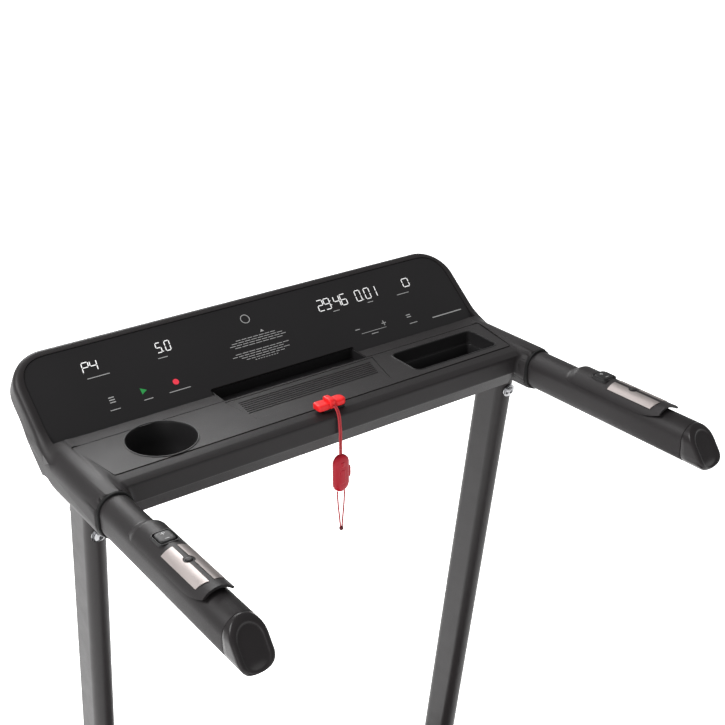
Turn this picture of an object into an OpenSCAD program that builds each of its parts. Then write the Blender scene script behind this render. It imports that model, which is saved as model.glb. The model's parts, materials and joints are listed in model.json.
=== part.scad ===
// Folding home treadmill: a base frame on the floor carries two tilted uprights, the console and
// its handlebars, and a deck that folds up about a hinge near its front end.
// X is across, with the runner's right positive. Y is forward, the way the runner faces. Z is up.

/* [Console] */
// Height of the line where the display face meets the shelf
console_z = 1140; // [1100:5:1180]
// Distance of that line forward of the middle of the treadmill
console_y = 580; // [576:1:584]
// Slope of the display face above horizontal
face_slope = 37.7; // [35:0.1:40]
// Width over the display hood
hood_w = 696; // [688:1:698]
// Length of the display hood up its slope
hood_len = 135; // [133:1:137]
// Radius of the display hood's top corners
hood_r = 50; // [44:1:56]
// Depth of the console's shelf from the display to its front bevel
shelf_len = 115; // [110:1:118]
// Inside radius of the cup holder's mouth
cup_r = 43.5; // [40:0.5:44]
// Wall of the moulded shells
wall = 3; // [2.5:0.1:3]

/* [Handlebars] */
// Distance of each handlebar's axis from the middle
bar_x = 324.5; // [322:0.5:327]
// Width of the handlebar's flat-oval section
bar_w = 41.5; // [40:0.5:42]
// Height of the handlebar's flat-oval section
bar_h = 54; // [52:0.5:55]
// Length of a handlebar from the display line to its end cap
bar_len = 427; // [415:1:440]
// Rise of the handlebars towards the runner
bar_rise = 1.55; // [1:0.05:2]

/* [Uprights] */
// Lean of the uprights from vertical, foot forward
lean = 7.66; // [7:0.02:8]
// Width of an upright's flat-oval section
post_w = 28; // [26:0.5:29]
// Depth of an upright's flat-oval section
post_d = 61; // [58:0.5:62]
// Wall of the steel tubes
tube_wall = 2; // [1.5:0.1:2.5]

/* [Deck] */
// Width of the running belt
belt_w = 420; // [400:5:422]
// Height of the running surface above the floor
belt_top = 162; // [160:1:164]
// Radius of the rollers
roller_r = 25.7; // [25:0.1:26]
// Radius of the pulley on the front roller
roller_pulley_r = 38; // [34:1:40]
// Radius of the motor's pulley
motor_pulley_r = 16; // [14:1:18]
// Height of the motor hood's top above the floor
hood_top = 250; // [240:1:260]

/* [Colours] */
// Moulded casings
shell_colour = "#4a484a"; // color
// Painted steel
steel_colour = "#6a686a"; // color
// Display face and belt
dark_colour = "#2b2a2c"; // color
// Safety key
key_colour = "#d0202a"; // color

/* [Hidden] */
$fn = 64;
far = 4000;                          // larger than the treadmill, for cutting planes

// Base frame
base_x = 308;                        // inner face of a side tube
base_tube_w = 40;
base_tube_h = 50;
base_z = 12;                         // top of the rubber feet
base_top = base_z + base_tube_h;
base_rear = 20;
base_front = 700;
pivot = [675, 105];                  // deck hinge, Y and Z
pivot_r = 6;
lug_x = 296;
wheel_at = [740, 32];
wheel_r = 30;
axle_r = 8;
run_gap = 0.05;                      // radial clearance of a running fit

// Fold strut: pin on the base, pin on the deck, and the angle and length between them at rest
strut_foot = [640, 48];
strut_head = [325, 71];
strut_run = strut_foot - strut_head;
strut_len = norm(strut_run);
strut_angle = atan2(-strut_run[1], strut_run[0]);
strut_pin_r = 5;
strut_r = 10;

// Uprights
post_at = [bar_x + 0.5, console_y - 62.6, console_z - 80];
post_top = console_z - 53;

// Rollers and drive
roller_z = belt_top - 2 - 26;
front_roller_y = 440;
rear_roller_y = -715;
shaft_r = 8.5;
motor_at = [600, 150];
pulley_x = 214;
pulley_w = 20;
board_top = belt_top - 2;
rail_x = 250;
rail_w = 24;
rail_z = 84;
rail_h = 56;
deck_side = 290;

// Console details, in the console's own frame
cup_at = [-221.5, -66];
tray_low = [150, -98];
tray_size = [142, 59];
rest_low = -108;
rest_w = 224;
key_x = -6;
key_y = -119;
rocker_y = -276;
rocker_l = 23;
rocker_w = 21;
rocker_pin_z = 30;
rocker_pin_r = 1;
plate_y = -298;
plate_l = 73;

// Safety cord: the two strands down to the clip, and the loop below it
cord_r = 1.1;
lever_pin = [3.3, -75.8];            // X and Z of the clip lever's pin
strand_route = [[-9, -128.3, 11], [-9, -130.6, 10.8], [-9, -133.4, 9], [-8.9, -136.2, 5.6],
    [-8.7, -138, 1], [-8.5, -139, -5], [-8.3, -139.6, -13], [-8, -140, -22], [-8, -140, -33],
    [-8, -140, -44], [-8, -140, -55]];
strand_gap = 2.6;
tail_route = [[-5.5, 0, -109], [-5.5, 0, -113], [-5.3, 0, -119], [-4.8, 0, -127], [-4.1, 0, -135],
    [-3.3, 0, -143], [-2.5, 0, -151], [-1.9, 0, -157], [-1.6, 0, -161], [-1.6, 0, -164]];

// ---- helpers ----

// One shape and its mirror image on the other side
module both() {
    children();
    mirror([1, 0, 0]) children();
}

// Flat oval, h tall and w wide
module flat_oval(w, h) {
    square([w, h - w], center = true);
    for (s = [-1, 1]) translate([0, s * (h - w) / 2]) circle(d = w);
}

// Rectangle with round corners
module round_rect(w, h, r) {
    square([w, h - 2 * r], center = true);
    square([w - 2 * r, h], center = true);
    for (x = [-1, 1], y = [-1, 1]) translate([x * (w / 2 - r), y * (h / 2 - r)]) circle(r);
}

// A section drawn in X and Z, carried from y = 0 towards the runner
module towards_runner(len) {
    rotate([90, 0, 0]) linear_extrude(len) children();
}

// A section drawn in Y and Z, carried across X about the middle
module across(width) {
    rotate([90, 0, 90]) linear_extrude(width, center = true) children();
}

// The same, from x0 to x1
module across_from(x0, x1) {
    translate([x0, 0, 0]) rotate([90, 0, 90]) linear_extrude(x1 - x0) children();
}

// A round bar along X at [y, z]
module pin_x(at, r, x0, x1) {
    translate([x0, at[0], at[1]]) rotate([0, 90, 0]) cylinder(r = r, h = x1 - x0);
}

// A round bar along Y at [x, z]
module pin_y(at, r, y0, y1) {
    translate([at[0], y0, at[1]]) rotate([-90, 0, 0]) cylinder(r = r, h = y1 - y0);
}

// A box from its lowest to its highest corner
module block(low, high) {
    translate(low) cube(high - low);
}

// A steel tube along X or Y, open at both ends
module tube_x(low, high) {
    difference() {
        block(low, high);
        block(low + [-1, tube_wall, tube_wall], high + [1, -tube_wall, -tube_wall]);
    }
}

module tube_y(low, high) {
    difference() {
        block(low, high);
        block(low + [tube_wall, -1, tube_wall], high + [-tube_wall, 1, -tube_wall]);
    }
}

// A plain tube with eight sides swept along a route
function unit(v) = v / norm(v);
function heading(p, i) = unit(p[min(i + 1, len(p) - 1)] - p[max(i - 1, 0)]);
function ring(p, i, r, side) = let (t = heading(p, i), u = unit(cross(t, side)), v = cross(t, u))
    [for (a = [0:45:315]) p[i] + r * (cos(a) * u + sin(a) * v)];

module swept_tube(p, r, side) {
    n = len(p);
    points = [for (i = [0:n - 1]) each ring(p, i, r, side)];
    walls = [for (i = [0:n - 2], k = [0:7])
        [i * 8 + k, (i + 1) * 8 + k, (i + 1) * 8 + (k + 1) % 8, i * 8 + (k + 1) % 8]];
    ends = [[for (k = [0:7]) k], [for (k = [7:-1:0]) (n - 1) * 8 + k]];
    polyhedron(points, concat(walls, ends));
}

// ---- frames of reference ----

module at_console() {
    translate([0, console_y, console_z]) children();
}

// The display face: X across, Y up the slope, Z out of the face
module on_face() {
    at_console() rotate([face_slope, 0, 0]) children();
}

// The right handlebar's axis: Y = 0 at the display line, towards the runner negative
module at_bar() {
    at_console() translate([bar_x, 0, -26.6]) rotate([-bar_rise, 0, 0]) children();
}

// The right upright's axis: Z up the tube
module at_post() {
    translate(post_at) rotate([lean, 0, 0]) children();
}

// A leaning flat-oval bar between two heights
module post_bar(w, d, z0, z1) {
    intersection() {
        at_post() translate([0, 0, -far / 2]) linear_extrude(far) flat_oval(w, d);
        block([200, 0, z0], [500, far / 2, z1]);
    }
}

// The strut's line at rest: Z from the base pin to the deck pin
module along_strut() {
    translate([0, strut_foot[0], strut_foot[1]]) rotate([90 - strut_angle, 0, 0]) children();
}

// ---- base ----

module hinge_lug() {
    difference() {
        union() {
            block([lug_x, pivot[0] - 20, 30], [base_x, pivot[0] + 20, pivot[1]]);
            block([lug_x, pivot[0] - 20, 30], [base_x + 1, pivot[0] + 20, base_top - 4]);
            pin_x(pivot, 20, lug_x, base_x);
        }
        pin_x(pivot, pivot_r + run_gap, lug_x - 1, base_x + 2);
    }
}

module wheel_fork() {
    difference() {
        for (x = [base_x + 4, base_x + base_tube_w - 8]) {
            block([x, base_front - 2, wheel_at[1] - 13], [x + 4, wheel_at[0], wheel_at[1] + 13]);
            pin_x(wheel_at, 13, x, x + 4);
        }
        pin_x(wheel_at, axle_r + run_gap, base_x, base_x + base_tube_w);
    }
}

module strut_clevis() {
    difference() {
        for (x = [-17, 11]) {
            block([x, strut_foot[0], 34], [x + 6, 669, 46]);
            pin_x(strut_foot, 10, x, x + 6);
        }
        pin_x(strut_foot, strut_pin_r + run_gap, -25, 25);
    }
}

module base_frame() color(steel_colour) {
    both() {
        difference() {
            block([base_x, base_rear, base_z], [base_x + base_tube_w, base_front, base_top]);
            block([base_x + 2, base_rear - 1, base_z + 2],
                [base_x + base_tube_w - 2, base_front - 3, base_top - 2]);
        }
        hinge_lug();
        wheel_fork();
        difference() {
            post_bar(post_w - 4.4, post_d - 4.4, base_top - 1, 165);
            for (z = [115, 145]) pin_x([646 - (z - 105) * 0.134, z], 4.1, bar_x - 8, 400);
        }
    }
    tube_x([-base_x - 1, 25, 14], [base_x + 1, 55, 44]);
    tube_x([-base_x - 1, 668, 14], [base_x + 1, 698, 47]);
    strut_clevis();
}

module base_feet() color("#1c1c1e") both() {
    block([base_x + 2, 650, 0], [base_x + base_tube_w - 2, 695, base_z]);
    difference() {
        block([base_x - 1, base_rear - 6, 0], [base_x + base_tube_w + 1, 62, base_top + 1]);
        block([base_x, base_rear, base_z], [base_x + base_tube_w, 70, base_top]);
        block([base_x - 2, 24, base_z], [base_x + 1, 70, base_top + 2]);
        block([base_x - 2, base_rear, base_z + 30], [base_x + base_tube_w + 2, 70, base_top + 2]);
    }
}

module upright() color(steel_colour) difference() {
    post_bar(post_w, post_d, base_top, post_top);
    post_bar(post_w - 2 * tube_wall, post_d - 2 * tube_wall, base_top - 1, post_top + 1);
    at_post() translate([0, 0, 5]) rotate([90, 0, 0]) cylinder(r = 4.2, h = 80, center = true);
    for (z = [115, 145]) pin_x([646 - (z - 105) * 0.134, z], 4.2, bar_x, 400);
}
module right_upright() upright();
module left_upright() mirror([1, 0, 0]) upright();

module boot() color(shell_colour) difference() {
    intersection() {
        translate([331, 651, base_top]) linear_extrude(30) round_rect(44, 104, 8);
        block([309, 500, 0], [353, 800, 200]);
    }
    post_bar(post_w + 0.4, post_d + 0.6, base_top - 1, 200);
}
module right_boot() boot();
module left_boot() mirror([1, 0, 0]) boot();

// Socket button heads on the rounded front and back of each upright, just under the console
module console_bolts() color("#d8d8da") both() {
    for (s = [-1, 1]) at_post() translate([0, 0, 5]) rotate([s * 90, 0, 0]) {
        cylinder(r = 4, h = post_d / 2 + 0.5);
        translate([0, 0, post_d / 2]) difference() {
            union() {
                cylinder(r = 10, h = 1.5);
                cylinder(r = 8.5, h = 3);
                intersection() {
                    translate([0, 0, -4]) sphere(r = 10.5);
                    translate([0, 0, 3]) cylinder(r = 7.2, h = 4);
                }
            }
            translate([0, 0, 3.5]) cylinder(r = 2.9, h = 5, $fn = 6);
        }
    }
}

module frame_bolts() color("#8c8c90") {
    both() {
        pin_x(pivot, pivot_r, 264, base_x);
        pin_x(pivot, 10, base_x, base_x + 2.5);
        pin_x(wheel_at, axle_r, base_x + 3, base_x + base_tube_w - 3);
        for (z = [115, 145]) {
            pin_x([646 - (z - 105) * 0.134, z], 4, bar_x - 6, 340);
            pin_x([646 - (z - 105) * 0.134, z], 7, 339.1, 343);
        }
    }
    pin_x(strut_foot, strut_pin_r, -20, 20);
}

module wheel() color("#2a2a2c") difference() {
    pin_x(wheel_at, wheel_r, base_x + 10, base_x + 30);
    pin_x(wheel_at, axle_r + run_gap, base_x, base_x + 50);
    for (x = [base_x + 9, base_x + 26]) difference() {
        pin_x(wheel_at, wheel_r - 7, x, x + 5);
        pin_x(wheel_at, axle_r + 5, x - 1, x + 6);
    }
}
module right_wheel() wheel();
module left_wheel() mirror([1, 0, 0]) wheel();

// ---- handlebars ----

module bar_section() {
    flat_oval(bar_w, bar_h);
}

module bar_plug() {
    intersection() {
        at_post() translate([0, 0, -50]) linear_extrude(100) flat_oval(post_w - 4.4, post_d - 4.4);
        block([200, 300, post_top - 60], [500, 700, post_top + 4.5]);
    }
}

module handlebar() color(shell_colour) difference() {
    union() {
        at_bar() translate([0, -2, 0]) difference() {
            towards_runner(bar_len - 2) bar_section();
            translate([0, 1, 0]) towards_runner(bar_len + 9)
                flat_oval(bar_w - 5, bar_h - 5);
        }
        bar_plug();
    }
    at_post() translate([0, 0, 5]) rotate([90, 0, 0]) cylinder(r = 4.05, h = 80, center = true);
}
module right_handlebar() handlebar();
module left_handlebar() mirror([1, 0, 0]) handlebar();

// Dark gaskets where the handlebars leave the console arms
module collars() color(dark_colour) both() at_bar() translate([0, -150, 0]) towards_runner(4) difference() {
    flat_oval(bar_w + 5, bar_h + 5);
    flat_oval(bar_w + 0.1, bar_h + 0.1);
}

// Oblique end cap with a dished oval face, and the plug that holds it in the tube
module end_cap() color(shell_colour) at_bar() {
    difference() {
        translate([0, -bar_len, 0]) towards_runner(36) bar_section();
        translate([0, -bar_len - 22.5, 0]) rotate([35, 0, 0]) {
            translate([0, -50, 0]) cube([100, 100, 200], center = true);
            translate([0, 3, -2]) towards_runner(10) flat_oval(bar_w - 9, bar_h + 8);
        }
    }
    translate([0, -bar_len + 22, 0]) towards_runner(22.2) flat_oval(bar_w - 5.2, bar_h - 5.2);
}
module right_end_cap() end_cap();
module left_end_cap() mirror([1, 0, 0]) end_cap();

module saddle_section() {
    difference() {
        intersection() {
            flat_oval(bar_w + 5.5, bar_h + 16);
            translate([-50, 12]) square([100, 60]);
        }
        flat_oval(bar_w + 0.2, bar_h + 0.2);
    }
}

// Saddle over the handlebar that carries the pulse plates and the rocker
module pulse_housing() color(shell_colour) at_bar() difference() {
    translate([0, -228, 0]) towards_runner(160) saddle_section();
    block([-rocker_w / 2 - 0.5, rocker_y - rocker_l / 2 - 0.5, 28.6],
        [rocker_w / 2 + 0.5, rocker_y + rocker_l / 2 + 0.5, 60]);
    pin_x([rocker_y, rocker_pin_z], rocker_pin_r + run_gap, -12.6, 12.6);
}
module right_pulse_housing() pulse_housing();
module left_pulse_housing() mirror([1, 0, 0]) pulse_housing();

module plate_section() {
    r = (bar_w + 5.5) / 2;
    intersection() {
        difference() {
            circle(r + 0.8);
            circle(r + 0.02);
        }
        polygon([[0, 0], [50 * sin(8), 50 * cos(8)], [50 * sin(52), 50 * cos(52)]]);
    }
}

// Two pulse plates on each housing, either side of a divider
module pulse_plates() color("#c9c8c8") both() at_bar() both() {
    translate([0, plate_y, (bar_h + 16 - bar_w - 5.5) / 2]) towards_runner(plate_l) plate_section();
}

// Plus and minus rocker that tilts about a crosswise axis
module rocker() color(dark_colour) at_bar() {
    intersection() {
        translate([0, rocker_y, 0]) across(rocker_w)
            polygon([[-rocker_l / 2, 30.5], [0, 29.4], [rocker_l / 2, 30.5], [rocker_l / 2, 60],
                [-rocker_l / 2, 60]]);
        translate([0, rocker_y + 20, 0]) towards_runner(40) flat_oval(bar_w + 7.3, bar_h + 17.8);
    }
    pin_x([rocker_y, rocker_pin_z], rocker_pin_r, -12.3, 12.3);
}
module right_rocker() rocker();
module left_rocker() mirror([1, 0, 0]) rocker();

// ---- console ----

// Steel tube between the two handlebars, under the display
module console_beam() color(steel_colour) at_console()
    tube_x([-bar_x + bar_w / 2, -22, -44], [bar_x - bar_w / 2, -2, -14]);

module hood_outline(w, low, top, r) {
    translate([-w / 2, low]) square([w, top - r - low]);
    translate([-w / 2 + r, low]) square([w - 2 * r, top - low]);
    for (s = [-1, 1]) translate([s * (w / 2 - r), top - r]) circle(r);
}

module shelf_outer() {
    polygon([[-133, -27], [-136, -22], [-136, 1], [-shelf_len, 5], [-24, 5], [2.6, 2], [6, 4.6],
        [6, -27]]);
}

module shelf_inner() {
    polygon([[-133 + wall, -28], [-136 + wall, -22], [-136 + wall, -2], [-shelf_len, 5 - wall],
        [-24, 5 - wall], [1, -0.5 - wall], [3, -1], [3, -28]]);
}

// Shelf, display hood and the two arms round the handlebars, open underneath
module console_upper_shell() color(shell_colour) difference() {
    union() {
        at_console() across(606) shelf_outer();
        on_face() translate([0, 0, -34]) linear_extrude(34) hood_outline(hood_w, 0, hood_len, hood_r);
        both() at_bar() translate([0, 15, 0]) towards_runner(165) flat_oval(bar_w + 8.5, bar_h + 8);
    }
    at_console() across(600) shelf_inner();
    on_face() {
        translate([0, 0, -3]) linear_extrude(4) hood_outline(670, 0, 127, 42);
        translate([0, 0, -35]) linear_extrude(29) hood_outline(hood_w - 6, 3, hood_len - 3, 45);
        translate([0, 0, -35]) linear_extrude(10) hood_outline(hood_w - 6, -1, hood_len - 3, 45);
    }
    both() {
        at_bar() translate([0, 10, 0]) towards_runner(170) flat_oval(bar_w + 2, bar_h + 2);
        post_bar(post_w + 2, post_d + 2, post_top - 30, post_top + 6);
    }
    at_console() {
        block([-310, -24, -46], [310, 0, -12]);
        translate([cup_at[0], cup_at[1], -10]) cylinder(r = cup_r + 2.2, h = 30);
        block([tray_low[0] - 2.4, tray_low[1] - 2.4, -10],
            [tray_low[0] + tray_size[0] + 2.4, tray_low[1] + tray_size[1] + 2.4, 20]);
        block([rest_low - 2.3, -28.3, -20], [rest_low + rest_w + 2.3, 12, 7.7]);
        block([key_x - 16, key_y - 6, -20], [key_x + 16, key_y + 6, 20]);
    }
}

module lower_outer() {
    polygon([[-132, -27], [-119, -50], [-8, -53], [55, -38], [118, 28], [117.6, 59.2],
        [15.3, -19.8], [8, -27]]);
}

module lower_inner() {
    polygon([[-128.5, -10], [-128.5, -27], [-117.2, -47], [-8, -50], [53.6, -35], [115, 29.3],
        [114.6, 90], [0, 20]]);
}

// The room behind the display hood, with its rounded corners
module hood_core(w, top, r) rotate([face_slope, 0, 0]) translate([0, 0, -90]) linear_extrude(100)
    hood_outline(w, -60, top, r);

// Underside and back of the console
module console_lower_shell() color(shell_colour) at_console() difference() {
    union() {
        across(597) lower_outer();
        intersection() {
            across(674) lower_outer();
            block([-400, 18, -100], [400, 200, 100]);
            hood_core(674, 129.5, 44);
        }
    }
    across(591) lower_inner();
    block([-310, -23, -45], [310, -1, -13]);
    intersection() {
        across(668) lower_inner();
        block([-400, 21, -100], [400, 200, 100]);
        hood_core(668, 126.5, 41);
    }
}

// Dark overlay sheet that carries the readings and the touch keys
module display_panel() color(dark_colour) difference() {
    on_face() translate([0, 0, -3]) linear_extrude(2.6) hood_outline(669, 0.5, 126.5, 41.5);
    at_console() block([rest_low - 2.3, -40, -20], [rest_low + rest_w + 2.3, 12, 7.7]);
}

module display_board() color("#1f5c34") on_face() translate([-260, 32, -12]) cube([520, 70, 1.6]);

module cup_holder() color(shell_colour) at_console() translate([cup_at[0], cup_at[1], 0])
    rotate_extrude() polygon([[0, -44], [37, -44], [cup_r + 2, 5], [cup_r + 5.5, 5],
        [cup_r + 5.5, 6.6], [cup_r, 6.6], [35, -42], [0, -42]]);

module storage_tray() color(shell_colour) at_console() difference() {
    low = [tray_low[0], tray_low[1], -34];
    high = [tray_low[0] + tray_size[0], tray_low[1] + tray_size[1], 5];
    union() {
        block(low - [2, 2, 2], high + [2, 2, 0]);
        block([low[0] - 5, low[1] - 5, 5], high + [5, 5, 1.4]);
    }
    block(low, high + [0, 0, 5]);
}

// Slot that stands a tablet up, and the ribbed mat in front of it
module tablet_rest() color(dark_colour) at_console() {
    difference() {
        block([rest_low - 2, -28, -13], [rest_low + rest_w + 2, 6, 5]);
        block([rest_low, -26, -11], [rest_low + rest_w, 4, 10]);
    }
    block([rest_low, -102, 5], [rest_low + rest_w, -26, 6.2]);
    for (i = [0:5]) block([rest_low + 8, -42 - 7 * i, 6], [rest_low + rest_w - 8, -40 - 7 * i, 7.2]);
}

module key_socket() color(dark_colour) at_console() difference() {
    block([key_x - 15.8, key_y - 5.8, -12], [key_x + 15.8, key_y + 5.8, 6.4]);
    block([key_x - 10, key_y - 3, -8], [key_x + 10, key_y + 3, 10]);
}

// Pull key whose tongue stands in the socket: a flat left wing, a raised spine and a round right wing
module safety_key() color(key_colour) at_console() {
    block([key_x - 9, key_y - 2.5, -7], [key_x + 9, key_y + 2.5, 8]);
    block([key_x - 24, key_y - 8, 7], [key_x - 8, key_y + 8, 15.5]);
    block([key_x - 9, key_y - 9, 7], [key_x, key_y + 10, 19.5]);
    translate([key_x + 9, key_y + 0.5, 7]) linear_extrude(9) round_rect(19, 17, 7);
}

// Two strands side by side from the key down to the clip
module safety_cord() color(key_colour) at_console()
    for (s = [-1, 1]) translate([s * strand_gap / 2, 0, 0]) swept_tube(strand_route, cord_r, [1, 0, 0]);

// Oblong clip on the cord, with a pocket for its side lever
module cord_clip() color("#8e2026") at_console() difference() {
    translate([-8, -140, -109]) linear_extrude(54) round_rect(25, 11, 5);
    block([1.8, -142.5, -92.2], [6, -137.5, -72.2]);
    pin_y([lever_pin[0], lever_pin[1]], 0.75 + run_gap, -144, -136);
}

module clip_lever() color("#8e2026") at_console() {
    block([2.2, -142.2, -91.7], [6.2, -137.8, -74.3]);
    pin_y([lever_pin[0], lever_pin[1]], 0.75, -143.8, -136.2);
}

// Two strands that run together below the clip, and the knot that joins them
module cord_loop() color(key_colour) at_console() translate([-8, -140, 0]) {
    swept_tube(tail_route, cord_r, [0, 1, 0]);
    swept_tube([for (p = tail_route) [-p[0], p[1], p[2]]], cord_r, [0, 1, 0]);
    translate([0, 0, -170.02]) cylinder(r = 3, h = 6);
}

// ---- fold strut ----

module strut_cylinder() color("#39393c") {
    along_strut() difference() {
        union() {
            translate([0, 0, 8]) cylinder(r = strut_r, h = 225);
            rotate([0, 90, 0]) cylinder(r = 9.6, h = 15, center = true);
        }
        rotate([0, 90, 0]) cylinder(r = strut_pin_r + run_gap, h = 40, center = true);
        translate([0, 0, 30]) cylinder(r = 7, h = 190);
        translate([0, 0, 210]) cylinder(r = 5 + run_gap, h = 40);
    }
}

// The rod's head has a crosswise slot, in which the deck's pin rises and falls through the fold
module strut_rod() color("#c4c4c8") along_strut() difference() {
    union() {
        translate([0, 0, 110]) cylinder(r = 5, h = strut_len - 118);
        translate([0, 5.75, strut_len + 0.9]) rotate([0, 90, 0]) linear_extrude(12, center = true)
            flat_oval(24, 34.2);
    }
    translate([0, 5.75, strut_len + 0.9]) rotate([0, 90, 0]) linear_extrude(14, center = true)
        flat_oval(13.2, 23.4);
}

// ---- deck ----

module deck_clevis() {
    difference() {
        for (x = [-16, 10]) {
            block([x, strut_head[0], strut_head[1] - 9], [x + 6, strut_head[0] + 40, 86]);
            pin_x(strut_head, 11, x, x + 6);
        }
        pin_x(strut_head, strut_pin_r + run_gap, -20, 20);
    }
}

module deck_frame() color(steel_colour) {
    both() {
        difference() {
            union() {
                tube_y([rail_x, -737, rail_z], [rail_x + rail_w, base_front, rail_z + rail_h]);
                pin_x(pivot, 18, rail_x + rail_w - 1, 292);
            }
            pin_x(pivot, pivot_r + run_gap, 262, 300);
        }
        difference() {
            block([212, -741, rail_z], [rail_x + rail_w, -736, rail_z + rail_h]);
            pin_y([232, roller_z], 4.2, -750, -730);
        }
    }
    for (y = [225, -125, -475]) tube_x([-rail_x - 1, y, 112], [rail_x + 1, y + 50, 137]);
    tube_x([-rail_x - 1, strut_head[0] + 20, rail_z], [rail_x + 1, strut_head[0] + 60, 104]);
    deck_clevis();
}

// Legs under the back of the deck, welded to its rails
module rear_legs() color(steel_colour) both() tube_y([rail_x, -735, 14], [rail_x + rail_w, -700, rail_z]);

// Steel plate between the rails that carries the motor
module motor_plate() color(steel_colour) block([-rail_x, 500, rail_z], [rail_x, 690, rail_z + 4]);

module deck_cushions() color("#1c1c1e")
    for (x = [-200, 0, 200], y = [225, -125, -475])
        translate([x, y + 25, 137]) cylinder(r = 18, h = board_top - 18 - 137);

module running_board() color("#8a6a48")
    block([-262, -675, board_top - 18], [262, 390, board_top]);

module belt_path(r) {
    span = front_roller_y - rear_roller_y;
    translate([rear_roller_y, roller_z]) {
        circle(r);
        translate([span, 0]) circle(r);
        translate([0, -r]) square([span, 2 * r]);
    }
}

module running_belt() color(dark_colour) across(belt_w) difference() {
    belt_path(28);
    belt_path(26);
}

module foot_rail() color(shell_colour) {
    block([214, -740, belt_top + 1], [deck_side, 383, belt_top + 8]);
    block([deck_side - 4, -740, 92], [deck_side, 383, belt_top + 2]);
}
module right_foot_rail() foot_rail();
module left_foot_rail() mirror([1, 0, 0]) foot_rail();

module rear_cap() color(shell_colour) difference() {
    block([214, -770, 92], [deck_side, -741, belt_top + 8]);
    pin_y([232, roller_z], 4.2, -772, -730);
    pin_y([232, roller_z], 8, -772, -762);
}
module right_rear_cap() rear_cap();
module left_rear_cap() mirror([1, 0, 0]) rear_cap();

module rear_feet() color("#1c1c1e") both()
    block([rail_x - 4, -739, 0], [rail_x + rail_w + 4, -696, 14]);

module roller(at_y) {
    difference() {
        pin_x([at_y, roller_z], roller_r, -212, 212);
        pin_x([at_y, roller_z], shaft_r + run_gap, -213, 213);
        pin_x([at_y, roller_z], roller_r - 3, -190, 190);
    }
    difference() {
        pin_x([at_y, roller_z], roller_r - 2.9, -190, 190);
        pin_x([at_y, roller_z], roller_r - 3.5, -191, 191);
    }
}

module front_roller() color("#a8a8ac") {
    roller(front_roller_y);
    difference() {
        union() {
            pin_x([front_roller_y, roller_z], 20, 211.5, pulley_x + 1);
            pin_x([front_roller_y, roller_z], roller_pulley_r, pulley_x, pulley_x + pulley_w);
        }
        pin_x([front_roller_y, roller_z], shaft_r + run_gap, 200, 240);
    }
}

module rear_roller() color("#a8a8ac") roller(rear_roller_y);

module roller_shafts() color("#8c8c90")
    for (y = [front_roller_y, rear_roller_y]) pin_x([y, roller_z], shaft_r, -rail_x, rail_x);

module motor() color("#303034") difference() {
    union() {
        pin_x(motor_at, 45, -60, 140);
        pin_x(motor_at, 38, -72, 150);
        for (x = [-40, 90]) block([x, motor_at[0] - 30, rail_z + 4], [x + 30, motor_at[0] + 30, 125]);
    }
    pin_x(motor_at, axle_r + run_gap, 85, 160);
    pin_x(motor_at, 28, -55, 90);
}

// Motor shaft with its flywheel and grooved pulley
module motor_pulley() color("#a8a8ac") {
    pin_x(motor_at, axle_r, 105, 236);
    pin_x(motor_at, 38, 162, 186);
    pin_x(motor_at, motor_pulley_r, pulley_x, pulley_x + pulley_w);
}

module belt_run(extra) {
    hull() {
        translate([front_roller_y, roller_z]) circle(roller_pulley_r + extra);
        translate(motor_at) circle(motor_pulley_r + extra);
    }
}

module drive_belt() color("#1c1c1e") across_from(pulley_x + 1, pulley_x + pulley_w - 1) difference() {
    belt_run(3.3);
    belt_run(0.3);
}

module motor_controller() color("#1f5c34") {
    block([-230, 520, rail_z + 4], [-90, 640, rail_z + 10]);
    block([-225, 530, rail_z + 10], [-165, 630, 125]);
    block([-150, 545, rail_z + 10], [-110, 575, 112]);
}

module motor_hood() color(shell_colour) difference() {
    across(576) polygon([[385, 142], [385, 168], [392, 178], [440, 222], [500, hood_top - 2],
        [640, hood_top], [700, 222], [722, 170], [722, 142]]);
    across(570) polygon([[380, 120], [380, 165], [388, 165], [395.5, 175.5], [442, 219],
        [501, hood_top - 5], [639, hood_top - 3], [697.5, 219.8], [719, 169], [719, 120]]);
}

// Tray under the motor, with the front wall that carries the switch, breaker and inlet
module motor_pan() color(shell_colour) difference() {
    union() {
        block([-248, 470, 76], [248, 720, 79]);
        block([-285, 716, 76], [285, 720, 142]);
    }
    block([119.5, 700, 99.5], [150.5, 730, 122.5]);
    block([166, 700, 97], [196, 730, 122]);
    pin_y([220, 110], 8.3, 700, 730);
}

module mains_inlet() color("#1c1c1e") difference() {
    union() {
        block([166.1, 694, 97.1], [195.9, 720, 121.9]);
        block([162, 720, 93], [200, 722, 126]);
    }
    block([169, 704, 100], [193, 723, 119]);
}

module power_switch() color(key_colour) difference() {
    union() {
        block([122, 712, 102], [148, 724, 120]);
        pin_x([714, 111], 3, 121.5, 148.5);
    }
    translate([135, 728, 111]) rotate([0, 90, 0]) cylinder(r = 7, h = 60, center = true);
}

module circuit_breaker() color("#1c1c1e") {
    pin_y([220, 110], 8, 708, 721);
    pin_y([220, 110], 5, 721, 725);
}

module deck_bolts() color("#8c8c90") {
    both() {
        pin_y([232, roller_z], 4, -766, -725);
        pin_y([232, roller_z], 7, -768, -763);
    }
    pin_x(strut_head, strut_pin_r, -18, 18);
}

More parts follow.
